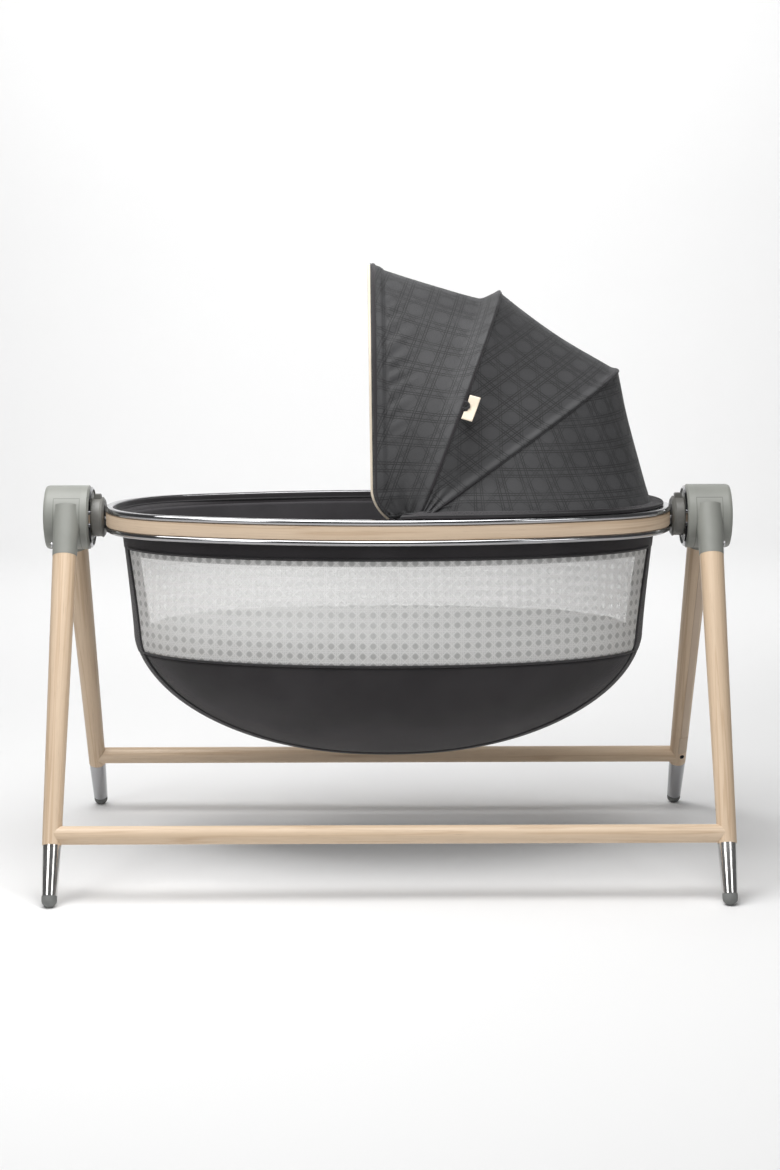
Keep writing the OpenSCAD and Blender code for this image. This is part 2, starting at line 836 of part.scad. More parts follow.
module canopy_panel_rear() {
    color(charcoal) fabric_sheet(between(
        [for (t = panel_turns()) rear_point(t, 5)], [for (t = panel_turns()) hem_point(t)]));
}

module canopy_hem() {
    color(charcoal) translate([0, 0, ring_top_z + 0.3]) intersection() {
        oval_sweep() translate([-ring_t - 1, 0]) square([ring_t - 1, 4]);
        translate([5, -300, -5]) cube([500, 600, 20]);
    }
}

// ---- the object -----------------------------------------------------------

leg(-1, -1);  // leg_front_left
leg(1, -1);  // leg_front_right
leg(-1, 1);  // leg_rear_left
leg_with_channel();  // leg_rear_right
foot_sleeve(-1, -1);  // foot_sleeve_front_left
foot_sleeve(1, -1);  // foot_sleeve_front_right
foot_sleeve(-1, 1);  // foot_sleeve_rear_left
foot_sleeve(1, 1);  // foot_sleeve_rear_right
foot_tip(-1, -1);  // foot_tip_front_left
foot_tip(1, -1);  // foot_tip_front_right
foot_tip(-1, 1);  // foot_tip_rear_left
foot_tip(1, 1);  // foot_tip_rear_right
side_rail(-1);  // rail_front
side_rail(1);  // rail_rear
rail_dowels();
hub_housing(-1);  // hub_housing_left
hub_housing(1);  // hub_housing_right
hub_end_cap(-1);  // hub_end_cap_left
hub_end_cap(1);  // hub_end_cap_right
hub_face(-1);  // hub_face_left
hub_face(1);  // hub_face_right
hub_trim(-1);  // hub_trim_left
hub_trim(1);  // hub_trim_right
hub_screws();
bearing(-1);  // bearing_left
bearing(1);  // bearing_right
leg_screws();
drive_coil();
control_board();
cable_cover();
dc_inlet();
swing_shaft(-1);  // swing_shaft_left
swing_shaft(1);  // swing_shaft_right
shaft_clips();
magnet_arm();
coupling(-1);  // coupling_left
coupling(1);  // coupling_right
ring_brackets();
release_button(-1);  // release_button_left
release_button(1);  // release_button_right
button_spring(-1);  // button_spring_left
button_spring(1);  // button_spring_right
ring_rail(ring_top_z - rail_h);  // ring_rail_upper
ring_rail(ring_z);  // ring_rail_lower
ring_band();
basket_border();
mesh_wall();
basket_belly();
mattress_board();
mattress();
canopy_hinge(-1);  // canopy_hinge_front
canopy_hinge(1);  // canopy_hinge_rear
canopy_bow_front();
canopy_bow_middle();
canopy_bow_rear();
canopy_panel_front();
canopy_panel_middle();
canopy_panel_rear();
canopy_hem();
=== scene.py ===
import math

import bmesh
import bpy
import numpy as np
from mathutils import Matrix, Vector


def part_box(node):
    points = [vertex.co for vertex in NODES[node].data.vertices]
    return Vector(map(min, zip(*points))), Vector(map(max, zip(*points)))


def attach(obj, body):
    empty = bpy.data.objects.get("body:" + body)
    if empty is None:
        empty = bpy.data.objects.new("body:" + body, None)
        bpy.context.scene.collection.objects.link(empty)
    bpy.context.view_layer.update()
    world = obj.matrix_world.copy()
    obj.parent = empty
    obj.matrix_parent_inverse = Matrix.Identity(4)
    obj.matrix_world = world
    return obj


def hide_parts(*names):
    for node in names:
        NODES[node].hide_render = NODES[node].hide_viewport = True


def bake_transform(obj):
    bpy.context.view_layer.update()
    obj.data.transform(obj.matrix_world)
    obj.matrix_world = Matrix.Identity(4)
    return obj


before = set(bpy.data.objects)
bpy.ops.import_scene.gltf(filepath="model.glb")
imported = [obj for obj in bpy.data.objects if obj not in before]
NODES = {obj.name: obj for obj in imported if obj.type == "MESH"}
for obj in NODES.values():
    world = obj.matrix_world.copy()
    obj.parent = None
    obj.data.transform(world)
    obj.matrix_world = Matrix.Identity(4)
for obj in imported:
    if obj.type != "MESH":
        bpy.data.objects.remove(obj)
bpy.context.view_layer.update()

# A bassinet that swings between two hubs on an A-frame stand, with a folding canopy.
# X runs along the basket, Y from front to back and Z up; every length is in metres.

scene = bpy.context.scene
scene.view_settings.view_transform = "Standard"

# ---- sizes shared with the CAD model ----

SHAFT_LOW, SHAFT_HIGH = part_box("swing_shaft_left")
AXIS_Z = (SHAFT_LOW.z + SHAFT_HIGH.z) / 2
RING_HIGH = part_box("ring_rail_upper")[1]
RING_A, RING_B, RING_END_R = RING_HIGH.x, RING_HIGH.y, 0.175
RING_SIDE_R = ((RING_A - RING_END_R) ** 2 + RING_B ** 2 - RING_END_R ** 2) / (2 * (RING_B - RING_END_R))
RING_TURN = math.atan2(RING_A - RING_END_R, RING_SIDE_R - RING_B)
RING_INNER_A, RING_INNER_B = 0.447, 0.2165
RAIL_W = 0.014
BAND_LOW, BAND_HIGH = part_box("ring_band")

LEG_TILT = math.atan2(0.330, 0.645)
# The seams round a socket block: how far out its two sides are, and the height of its top
HUB_SEAMS = (0.4985, 0.5405, AXIS_Z + 0.0345)

BASKET_LOW = 0.169
MESH_LOW, MESH_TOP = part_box("mesh_wall")[0].z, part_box("mesh_wall")[1].z
BORDER_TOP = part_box("basket_border")[1].z
BELLY_TOP = 0.370
BELLY_A, BELLY_B = 0.4172, 0.203
BASKET_A, BASKET_B = 0.436, 0.211
LEVEL_POWER = 2.15
# Columns of points round the basket, and the radius of its piping
AROUND = 361
PIPING_R = 0.0019

PIVOT = np.array([0.0455, 0.0, 0.575])
ELBOW_R = 0.056
BOWS = {
    # name: angle from the basket's right end, half width, reach, shoulder, crown
    "front": (100.0, 0.188, 0.398, 2.1, 0.48),
    "middle": (69.0, 0.197, 0.3725, 1.9, 0.52),
    "rear": (34.6, 0.2075, 0.393, 1.1, 0.50),
}
# How far the piped rib lies behind its bow, in degrees about the pivot
RIB_BACK = {"middle": 0.46, "rear": 0.42}
SEAM_FROM_LIP = 0.0220
HEM_FOOT = 0.5838


# ---- camera, light and floor ----

def add(name, data):
    obj = bpy.data.objects.new(name, data)
    scene.collection.objects.link(obj)
    return obj


def make_camera():
    data = bpy.data.cameras.new("Camera")
    data.lens = 68.29
    data.sensor_width = 36.0
    camera = add("Camera", data)
    yaw, pitch, roll = math.radians(0.3841), math.radians(8.3842), math.radians(-0.0918)
    camera.matrix_world = (
        Matrix.Translation((-0.0213, -3.6076, 0.9793))
        @ Matrix.Rotation(-yaw, 4, "Z")
        @ Matrix.Rotation(math.pi / 2 - pitch, 4, "X")
        @ Matrix.Rotation(roll, 4, "Z")
    )
    scene.camera = camera


def area_light(name, place, aim, size, power):
    data = bpy.data.lights.new(name, "AREA")
    data.shape = "RECTANGLE"
    data.size, data.size_y = size
    data.energy = power
    light = add(name, data)
    light.location = place
    light.rotation_euler = (Vector(aim) - Vector(place)).to_track_quat("-Z", "Y").to_euler()


def make_studio():
    world = bpy.data.worlds.new("Studio")
    scene.world = world
    world.use_nodes = True
    background = world.node_tree.nodes["Background"]
    background.inputs["Color"].default_value = (1, 1, 1, 1)
    background.inputs["Strength"].default_value = 0.10
    area_light("Overhead", (-0.35, -0.5, 2.35), (0, 0, 0.4), (2.4, 1.6), 70)
    area_light("Key", (-2.4, -3.2, 2.6), (0, 0, 0.5), (1.1, 1.7), 32)
    area_light("Fill", (2.6, -3.4, 2.0), (0, 0, 0.5), (1.0, 1.6), 17)
    area_light("Backdrop", (0, 1.9, 3.2), (0, 5.0, 1.4), (5.0, 0.8), 140)

    # A pale floor that curves up into a pale backdrop
    bend, back, width, height = 1.2, 5.0, 9.0, 7.0
    turns = np.linspace(0, math.pi / 2, 12)
    curve = [(back - bend + bend * math.sin(a), bend - bend * math.cos(a)) for a in turns]
    profile = [(-width, 0.0)] + curve + [(back, height)]
    points = np.array([[(x, y, z) for x in (-width, width)] for y, z in profile])
    floor = grid("Floor", points, np.zeros(points.shape[:2] + (2,)))
    floor.data.materials.append(Look("PaleFloor", (0.84, 0.84, 0.84), 0.75).material)


# ---- materials ----

class Look:
    """A material, with short ways to write its node tree."""

    def __init__(self, name, colour, roughness, metallic=0.0):
        self.material = bpy.data.materials.new(name)
        self.material.use_nodes = True
        self.tree = self.material.node_tree
        self.shader = self.tree.nodes["Principled BSDF"]
        self.set("Base Color", (*colour, 1.0))
        self.set("Roughness", roughness)
        self.set("Metallic", metallic)

    def set(self, socket, value):
        self.plug(self.shader.inputs[socket], value)

    def plug(self, socket, value):
        if isinstance(value, bpy.types.NodeSocket):
            self.tree.links.new(value, socket)
        else:
            socket.default_value = value

    def node(self, kind, inputs=None, **settings):
        node = self.tree.nodes.new("ShaderNode" + kind)
        for key, value in settings.items():
            setattr(node, key, value)
        for key, value in (inputs or {}).items():
            self.plug(node.inputs[key], value)
        return node

    def math(self, operation, a, b=0.0, c=0.0):
        return self.node("Math", {0: a, 1: b, 2: c}, operation=operation).outputs[0]

    def times(self, a, b):
        return self.math("MULTIPLY", a, b)

    def plus(self, a, b):
        return self.math("ADD", a, b)

    def minus(self, a, b):
        return self.math("SUBTRACT", a, b)

    def mix(self, share, a, b):
        node = self.node("Mix", {0: share}, data_type="RGBA")
        for socket, value in ((node.inputs[6], a), (node.inputs[7], b)):
            self.plug(socket, value if isinstance(value, bpy.types.NodeSocket) else (*value, 1.0))
        return node.outputs[2]

    def ease(self, value, low, high, to_low=0.0, to_high=1.0):
        return self.node("MapRange", {0: value, 1: low, 2: high, 3: to_low, 4: to_high},
                         interpolation_type="SMOOTHSTEP").outputs[0]

    def noise(self, place, scale, detail=3.0, roughness=0.55):
        return self.node("TexNoise", {"Vector": place, "Scale": scale, "Detail": detail,
                                      "Roughness": roughness}).outputs["Fac"]

    def place(self):
        """Where a point is in the scene, in metres."""
        return self.node("TexCoord").outputs["Object"]

    def cloth(self):
        """Where a point is on the flat cloth, in metres."""
        return self.node("TexCoord").outputs["UV"]

    def split(self, vector):
        node = self.node("SeparateXYZ", {0: vector})
        return node.outputs[0], node.outputs[1], node.outputs[2]

    def scaled(self, vector, scale, turn=(0, 0, 0)):
        return self.node("Mapping", {"Vector": vector, "Scale": scale, "Rotation": turn}).outputs[0]

    def bump(self, height, distance, strength=1.0):
        node = self.node("Bump", {"Height": height, "Distance": distance, "Strength": strength})
        self.set("Normal", node.outputs[0])

    def stripe(self, value, pitch, half_width, offset=0.0, soft=0.0004):
        """1 on lines a pitch apart, 0 between them."""
        away = self.math("PINGPONG", self.plus(value, offset), pitch / 2)
        return self.ease(away, half_width, half_width + soft, 1.0, 0.0)


def wood_look(name, turn=(0, 0, 0), on_cloth=False):
    """Pale ash. The grain runs along Z after the turn, or along the cloth coordinates' first axis."""
    look = Look(name, (0.60, 0.45, 0.31), 0.42)
    if on_cloth:
        place = look.scaled(look.cloth(), (1, 1, 1), (0, math.pi / 2, 0))
    else:
        place = look.scaled(look.place(), (1, 1, 1), turn)
    fine = look.noise(look.scaled(place, (420, 420, 9)), 1.0, 4.0, 0.6)
    bands = look.noise(look.scaled(place, (62, 62, 1.7)), 1.0, 2.0, 0.5)
    rings = look.math("PINGPONG", look.times(bands, 9.0), 1.0)
    late = look.ease(rings, 0.62, 1.0)
    pores = look.ease(look.noise(look.scaled(place, (900, 900, 26)), 1.0, 2.0), 0.62, 0.74)
    broad = look.noise(look.scaled(place, (14, 14, 1.1)), 1.0, 2.0)
    colour = look.mix(look.ease(broad, 0.3, 0.7), (0.655, 0.500, 0.350), (0.725, 0.570, 0.420))
    colour = look.mix(look.times(late, 0.55), colour, (0.520, 0.360, 0.225))
    colour = look.mix(look.times(look.ease(fine, 0.35, 0.75), 0.30), colour, (0.490, 0.345, 0.220))
    colour = look.mix(look.times(pores, 0.35), colour, (0.330, 0.220, 0.140))
    look.set("Base Color", colour)
    look.set("Roughness", look.ease(fine, 0.2, 0.8, 0.36, 0.52))
    height = look.minus(look.times(fine, 0.4), look.times(pores, 0.6))
    look.bump(height, 0.00012)
    return look


def chrome_look(name, colour, roughness):
    look = Look(name, colour, roughness, 1.0)
    place = look.place()
    smear = look.noise(place, 38.0, 4.0)
    scratch = look.noise(look.scaled(place, (30, 900, 900)), 1.0, 2.0)
    look.set("Roughness", look.plus(look.ease(smear, 0.3, 0.75, roughness * 0.7, roughness * 1.6),
                                    look.times(scratch, 0.02)))
    look.bump(scratch, 0.000006)
    return look


def plastic_look(name, colour, darker, roughness, grain=0.00005):
    look = Look(name, colour, roughness)
    place = look.place()
    texture = look.noise(place, 2600.0, 2.0)
    wear = look.noise(place, 22.0, 4.0)
    look.set("Base Color", look.mix(look.ease(wear, 0.35, 0.7), colour, darker))
    look.set("Roughness", look.ease(texture, 0.3, 0.7, roughness - 0.05, roughness + 0.06))
    look.bump(texture, grain)
    return look


def hub_look():
    """Hub plastic, with the fine seams round each socket block."""
    look = plastic_look("HubPlastic", (0.263, 0.269, 0.246), (0.243, 0.249, 0.227), 0.46)
    x, _, z = look.split(look.place())
    out = look.math("ABSOLUTE", x)
    inner, outer, top = HUB_SEAMS

    def near(value, middle):
        return look.ease(look.math("ABSOLUTE", look.minus(value, middle)), 0.0003, 0.0007, 1.0, 0.0)

    below = look.ease(z, top, top + 0.0004, 1.0, 0.0)
    between = look.times(look.ease(out, inner - 0.0004, inner),
                         look.ease(out, outer, outer + 0.0004, 1.0, 0.0))
    sides = look.times(look.math("MAXIMUM", near(out, inner), near(out, outer)), below)
    seam = look.math("MAXIMUM", sides, look.times(near(z, top), between))
    plain = look.shader.inputs["Base Color"].links[0].from_socket
    look.set("Base Color", look.mix(look.times(seam, 0.65), plain, (0.09, 0.09, 0.08)))
    return look


def weave_height(look, u, v, pitch):
    """Plain weave: rounded threads that pass over and under each other."""
    warp, weft = (look.math("SINE", look.times(value, 2 * math.pi / pitch)) for value in (u, v))
    return look.times(warp, weft)


def diagonals(look, u, v):
    """Places along the two diagonals of the cloth."""
    root = math.sqrt(0.5)
    return look.times(look.plus(u, v), root), look.times(look.minus(u, v), root)


def from_cell(look, u, v, pitch):
    """Distance from the middle of the open cell between the strands."""
    cu, cv = (look.minus(look.math("PINGPONG", value, pitch / 2), pitch / 2) for value in (u, v))
    return look.math("SQRT", look.plus(look.times(cu, cu), look.times(cv, cv)))


def webbing(look, stripes, soft):
    """Joined stripes, each given as its value, pitch, offset, half width and strength."""
    joined = 0.0
    for value, pitch, offset, half_width, strength in stripes:
        line = look.times(look.stripe(value, pitch, half_width, offset, soft), strength)
        joined = look.math("MAXIMUM", joined, line)
    return joined


def charcoal_look(name, colour, cane=False):
    """Woven polyester. With cane, large webbing in double lines shows tone on tone."""
    look = Look(name, colour, 0.85)
    u, v, _ = look.split(look.cloth())
    weave = weave_height(look, u, v, 0.0011)
    threads = look.node("CombineXYZ", {0: look.times(u, 90.0), 1: look.times(v, 900.0)})
    slub = look.noise(threads.outputs[0], 1.0, 2.0)
    tone = look.noise(look.place(), 9.0, 3.0)
    lighter = tuple(min(1.0, c * 1.35 + 0.004) for c in colour)
    # Painted shade: the low parts of the weave, between the threads, are mixed towards this darker copy of the
    # colour
    darker = tuple(c * 0.62 for c in colour)
    base = look.mix(look.ease(tone, 0.3, 0.7), colour, lighter)
    base = look.mix(look.ease(weave, -0.6, 0.9, 0.35, 0.0), base, darker)
    base = look.mix(look.ease(slub, 0.45, 0.8, 0.0, 0.25), base, lighter)
    height = look.times(weave, 0.5)
    if cane:
        pitch, pair, strand = 0.0420, 0.0115, 0.0036
        across, down = diagonals(look, u, v)
        slant = pitch * math.sqrt(0.5)
        stripes = [(value, pitch, middle + side * strand / 2, 0.00048, 1.0)
                   for value in (u, v) for middle in (-pair / 2, pair / 2) for side in (-1, 1)]
        stripes += [(value, slant, slant / 2 + side * strand / 2, 0.00048, 0.55)
                    for value in (across, down) for side in (-1, 1)]
        broken = look.ease(look.noise(look.place(), 45.0, 2.0), 0.22, 0.55, 0.45, 1.0)
        lines = look.times(webbing(look, stripes, 0.0006), broken)
        base = look.mix(look.times(lines, 0.80), base, tuple(c * 0.25 for c in colour))
        # A light round spot in the open cell between the strands
        away = from_cell(look, u, v, pitch)
        cell = look.ease(away, 0.0085, 0.0100, 1.0, 0.0)
        base = look.mix(look.times(cell, 0.05), base, lighter)
        puff = look.ease(away, 0.004, 0.017, 1.0, 0.0)
        height = look.minus(look.plus(height, look.times(puff, 0.35)), lines)
        look.set("Roughness", look.ease(cell, 0.0, 1.0, 0.56, 0.53))
    look.set("Base Color", base)
    look.set("Sheen Weight", 0.06 if cane else 0.25)
    look.set("Sheen Roughness", 0.45)
    look.set("Specular IOR Level", 0.4 if cane else 0.25)
    look.bump(height, 0.00022, 0.8)
    return look


def cane_mesh_look():
    """Pale openwork knit: cane webbing with round holes, seen through a little everywhere."""
    look = Look("CaneMesh", (0.60, 0.60, 0.60), 0.7)
    u, v, _ = look.split(look.cloth())
    pitch, pair = 0.0164, 0.0026
    hole = look.ease(from_cell(look, u, v, pitch), 0.0036, 0.0048, 1.0, 0.0)
    across, down = diagonals(look, u, v)
    slant = pitch * math.sqrt(0.5)
    stripes = [(value, pitch, side * pair / 2, 0.0004, 1.0) for value in (u, v) for side in (1, -1)]
    stripes += [(value, slant, slant / 2, 0.0005, 1.0) for value in (across, down)]
    threads = webbing(look, stripes, 0.0004)
    knit = weave_height(look, u, v, 0.0012)
    fine = look.ease(knit, -0.3, 0.6)
    cover = look.plus(look.plus(look.times(fine, 0.14), 0.55), look.times(threads, 0.10))
    cover = look.minus(cover, look.times(hole, 0.17))
    base = look.mix(look.times(threads, 0.6), (0.86, 0.86, 0.85), (0.95, 0.95, 0.94))
    look.set("Base Color", base)
    look.set("Alpha", cover)
    look.set("Specular IOR Level", 0.2)
    look.bump(look.plus(threads, look.times(knit, 0.3)), 0.0002, 0.7)
    return look


def paint(obj, look):
    obj.data.materials.clear()
    obj.data.materials.append(look.material)


def dress(obj, look, body, node=None):
    """Gives a piece its look, the CAD node it stands for and the body it rides on."""
    paint(obj, LOOKS[look])
    if node:
        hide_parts(node)
    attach(obj, body)


def cord(name, path, radius, look, body, sides=8, slot="charcoal_fabric", **shape):
    """Piping or tape along a path."""
    dress(tube(name, path, radius, sides, **shape), look, body)


def stretched(name, points, uv, look, thickness=0.0, offset=0.0,
              node=None):
    """A piece of the basket's cloth, cut from a flat sheet. It closes round where uv has a column more."""
    piece = grid(name, points, uv, wrap=uv.shape[1] > points.shape[1])
    if thickness:
        modify(piece, "SOLIDIFY", thickness=thickness, offset=offset)
    dress(piece, look, "basket", node)


# ---- mesh building ----

def grid(name, points, uv, wrap=False):
    """A sheet through points[row][column]. uv is each corner's place on the cloth; wrap joins the last
    column to the first, with one more column of uv."""
    rows, cols = points.shape[:2]
    faces, corners = [], []
    for i in range(rows - 1):
        for j in range(cols if wrap else cols - 1):
            k = (j + 1) % cols
            faces.append((i * cols + j, i * cols + k, (i + 1) * cols + k, (i + 1) * cols + j))
            corners += [uv[i][j], uv[i][j + 1], uv[i + 1][j + 1], uv[i + 1][j]]
    return solid(name, points.reshape(-1, 3), faces, corners)


def flat_grid(first, second):
    """Places on flat cloth, with first down the rows and second along the columns."""
    return np.array([[(a, b) for b in second] for a in first])


def solid(name, points, faces, corners=None):
    mesh = bpy.data.meshes.new(name)
    mesh.from_pydata(np.asarray(points, float).tolist(), [], faces)
    if corners is not None:
        mesh.uv_layers.new(name="Cloth").data.foreach_set("uv", np.array(corners, float).ravel())
    mesh.polygons.foreach_set("use_smooth", [True] * len(mesh.polygons))
    mesh.update()
    return add(name, mesh)


def lengths(path, closed=False):
    """Distance along a path at each of its points."""
    if closed:
        path = np.concatenate([path, path[:1]])
    return np.concatenate([[0.0], np.cumsum(np.linalg.norm(np.diff(path, axis=0), axis=1))])


def along_path(path, at, wanted):
    """The points of a path at the wanted distances, where at is the distance of each of its own."""
    return np.stack([np.interp(wanted, at, path[:, k]) for k in range(3)], axis=-1)


def spaced(path, count):
    """count points evenly spaced along a path."""
    at = lengths(path)
    return along_path(path, at, np.linspace(0, at[-1], count))


def directions(path, closed=False):
    step = np.roll(path, -1, axis=0) - np.roll(path, 1, axis=0) if closed else np.gradient(path, axis=0)
    return step / np.linalg.norm(step, axis=1)[:, None]


def frames(path, first=(0, 0, 1), closed=False):
    """Two directions across the path at each point, carried along it without twist."""
    side = np.array(first, float)
    out = []
    for t in directions(path, closed):
        side = side - t * (side @ t)
        side /= np.linalg.norm(side)
        out.append((side.copy(), np.cross(t, side)))
    return out


def tube(name, path, radius, sides=12, closed=False, first=(0, 0, 1), taper=0.0):
    """A round cord along a path; taper thins its ends."""
    path = np.asarray(path, float)
    rows = len(path)
    at = lengths(path, closed)
    points = np.zeros((rows, sides, 3))
    for i, (a, b) in enumerate(frames(path, first, closed)):
        thin = 1.0
        if taper:
            edge = min(at[i], at[rows - 1] - at[i])
            thin = 0.25 + 0.75 * math.sin(min(1.0, edge / taper) * math.pi / 2)
        for k in range(sides):
            turn = 2 * math.pi * k / sides
            points[i, k] = path[i] + radius * thin * (math.cos(turn) * a + math.sin(turn) * b)
    return skin(name, points, at, [2 * math.pi * radius * k / sides for k in range(sides + 1)], closed)


def skin(name, points, at, around, closed):
    """A solid through rings of points, joined end to end if closed. Its place on the cloth is at along it
    and around round it."""
    if closed:
        points = np.concatenate([points, points[:1]])
    obj = grid(name, points, flat_grid(at, around), wrap=True)
    mesh = bmesh.new()
    mesh.from_mesh(obj.data)
    if closed:
        bmesh.ops.remove_doubles(mesh, verts=mesh.verts, dist=1e-7)
    else:
        bmesh.ops.holes_fill(mesh, edges=[e for e in mesh.edges if e.is_boundary])
    bmesh.ops.recalc_face_normals(mesh, faces=mesh.faces)
    mesh.to_mesh(obj.data)
    mesh.free()
    return obj


def modify(obj, kind, **settings):
    modifier = obj.modifiers.new(kind.title(), kind)
    for key, value in settings.items():
        setattr(modifier, key, value)
    return modifier


def round_profile(width, height, radius, steps=4):
    """A rounded rectangle from (0, 0) to (width, height)."""
    out = []
    for cx, cy, start in ((width - radius, radius, -90), (width - radius, height - radius, 0),
                          (radius, height - radius, 90), (radius, radius, 180)):
        for i in range(steps + 1):
            turn = math.radians(start + 90 * i / steps)
            out.append((cx + radius * math.cos(turn), cy + radius * math.sin(turn)))
    return out


# ---- the oval ring ----

def ring_line(count, inset=0.0, z=0.0):
    """count points round the ring from its right end and back to it, and the outward direction at each."""
    end, side = math.pi / 2 - RING_TURN, 2 * RING_TURN
    cx, cy = RING_A - RING_END_R, RING_SIDE_R - RING_B
    arcs = [((cx, 0), RING_END_R, 0, end), ((0, -cy), RING_SIDE_R, end, side),
            ((-cx, 0), RING_END_R, end + side, 2 * end), ((0, cy), RING_SIDE_R, 3 * end + side, side),
            ((cx, 0), RING_END_R, 3 * end + 2 * side, end)]
    total = sum(r * turn for _, r, _, turn in arcs)
    points, outward = [], []
    for left in np.linspace(0, total, count):
        for (cx, cy), r, start, turn in arcs:
            if left <= r * turn + 1e-9:
                break
            left -= r * turn
        angle = start + left / r
        n = np.array([math.cos(angle), math.sin(angle), 0.0])
        points.append(np.array([cx, cy, z]) + n * (r - inset))
        outward.append(n)
    return np.array(points), np.array(outward)


def ring_sweep(name, profile, count):
    """A closed profile of (inwards, up) offsets carried round the ring from its outer lower edge."""
    path, out = (line[:-1] for line in ring_line(count + 1))
    points = np.array([[p - inwards * n + np.array([0.0, 0.0, up]) for inwards, up in profile]
                       for p, n in zip(path, out)])
    return skin(name, points, lengths(path, True), lengths(np.array(profile + profile[:1])), True)


# ---- the basket's shape ----

def half_size(z, low, mid, top, power):
    """Half length or half width of the basket's fabric at height z."""
    if z < BELLY_TOP:
        depth = (BELLY_TOP - z) / (BELLY_TOP - low)
        return mid * max(0.0, 1 - depth ** 1.7) ** (1 / 2.25)
    return mid + (top - mid) * ((z - BELLY_TOP) / (BORDER_TOP - BELLY_TOP)) ** power


def half_length(z):
    return half_size(z, BASKET_LOW, BELLY_A, BASKET_A, 1.2)


def half_width(z):
    return half_size(z, BASKET_LOW, BELLY_B, BASKET_B, 1.0)


def oval_point(a, b, turn):
    c, s = math.cos(turn), math.sin(turn)
    power = 2 / LEVEL_POWER
    return a * math.copysign(abs(c) ** power, c), b * math.copysign(abs(s) ** power, s)


def strip_half(z):
    """Half width of the dark strip that runs down the ends and along the keel."""
    return float(np.interp(z, (0.17, 0.22, 0.25, 0.348, 0.516), (0.078, 0.082, 0.078, 0.0666, 0.0574)))


def seam_turn(z):
    """Turn at which the end strip's seam crosses height z."""
    share = min(1.0, strip_half(z) / half_width(z))
    return math.asin(share ** (LEVEL_POWER / 2))


# ---- stand ----

def give(node, look):
    """A CAD node keeps its shape and gets a better material."""
    obj = NODES[node]
    if obj.material_slots:
        for material_slot in obj.material_slots:
            material_slot.material = look.material
    else:
        obj.data.materials.append(look.material)


def make_stand():
    wood = {"front": wood_look("WoodLegsFront", (LEG_TILT, 0, 0)),
            "rear": wood_look("WoodLegsRear", (-LEG_TILT, 0, 0))}
    for side in ("left", "right"):
        # Painted light: the front foot sleeves take a brighter copy of the metal, and the rear ones, in shade,
        # the darker chrome
        for end, sleeve in (("front", "sleeve"), ("rear", "chrome")):
            give(f"leg_{end}_{side}", wood[end])
            give(f"foot_sleeve_{end}_{side}", LOOKS[sleeve])
            give(f"foot_tip_{end}_{side}", LOOKS["rubber"])
        for part, look in (("hub_housing", "hub"), ("hub_end_cap", "hub"), ("hub_face", "hub_light"),
                           ("hub_trim", "chrome"), ("bearing", "steel"), ("swing_shaft", "steel"),
                           ("coupling", "coupling"), ("release_button", "coupling")):
            give(f"{part}_{side}", LOOKS[look])
        make_button_spring(side)
    wood_rail = wood_look("WoodRails", (0, math.pi / 2, 0))
    for node in ("rail_front", "rail_rear", "rail_dowels"):
        give(node, wood_rail)
    for look, nodes in (("steel", ("hub_screws", "leg_screws", "shaft_clips", "magnet_arm", "ring_brackets")),
                        ("dark_plastic", ("canopy_hinge_front", "canopy_hinge_rear", "dc_inlet")),
                        ("copper", ("drive_coil",)), ("board", ("control_board",)),
                        ("cable_cover", ("cable_cover",)), ("fibre", ("mattress_board",)),
                        ("coated", [f"canopy_bow_{bow}" for bow in BOWS])):
        for node in nodes:
            give(node, LOOKS[look])


def make_button_spring(side):
    """A coil spring that stands for the button's spring part."""
    low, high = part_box(f"button_spring_{side}")
    middle, wire, turns = (low + high) / 2, 0.00045, 5.5
    radius, rise = (high.x - low.x) / 2 - wire, high.z - low.z - 2 * wire
    path = [(middle.x + radius * math.cos(a), middle.y + radius * math.sin(a),
             low.z + wire + rise * a / (2 * math.pi * turns)) for a in np.linspace(0, 2 * math.pi * turns, 180)]
    spring = tube(f"ButtonSpring{side.title()}", path, wire, 8)
    paint(spring, LOOKS["steel"])
    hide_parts(f"button_spring_{side}")
    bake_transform(spring)


# ---- ring ----

def make_ring():
    give("ring_rail_upper", LOOKS["chrome"])
    give("ring_rail_lower", LOOKS["chrome"])
    low, high = BAND_LOW.z, BAND_HIGH.z
    profile = [(0.0015 + p, low + q) for p, q in round_profile(0.009, high - low, 0.0016)]
    band = ring_sweep("RingBand", profile, 360)
    paint(band, wood_look("WoodRing", on_cloth=True))
    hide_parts("ring_band")
    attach(band, "basket")


# ---- basket ----

def meridian(rows):
    """Heights down the basket's outline, from the border's top to the lowest point."""
    below = BASKET_LOW + (BELLY_TOP - BASKET_LOW) * np.cos(np.linspace(0, math.pi / 2, 400))[1:]
    fine = np.concatenate([np.linspace(BORDER_TOP, BELLY_TOP, 80), below])
    path = np.array([(half_width(z), 0.0, z) for z in fine])
    return spaced(path, rows)[:, 2]


def wall(heights, turns_at, cols, inset=0.0, ripple=None):
    """Fabric on the basket's outline; turns_at gives the first and last turn at a height."""
    points = np.zeros((len(heights), cols, 3))
    for i, z in enumerate(heights):
        a, b = half_length(z) - inset, half_width(z) - inset
        for j, turn in enumerate(np.linspace(*turns_at(z), cols)):
            x, y = oval_point(max(a, 0.0005), max(b, 0.0003), turn)
            grow = 1 + ripple(turn, z) / max(math.hypot(x, y), 0.05) if ripple else 1
            points[i, j] = (x * grow, y * grow, z)
    run = np.array([lengths(row) for row in points])
    down = lengths(points[:, cols // 2])[:, None] * np.ones((1, cols))
    return points, np.stack([run - run[:, -1:] / 2, down], axis=-1)


# The first and last turn of each part of the wall at height z
PARTS = {
    "front": lambda z: (-math.pi + seam_turn(z), -seam_turn(z)),
    "rear": lambda z: (seam_turn(z), math.pi - seam_turn(z)),
    "right": lambda z: (-seam_turn(z), seam_turn(z)),
    "left": lambda z: (math.pi - seam_turn(z), math.pi + seam_turn(z)),
    "round": lambda z: (0, 2 * math.pi),
}


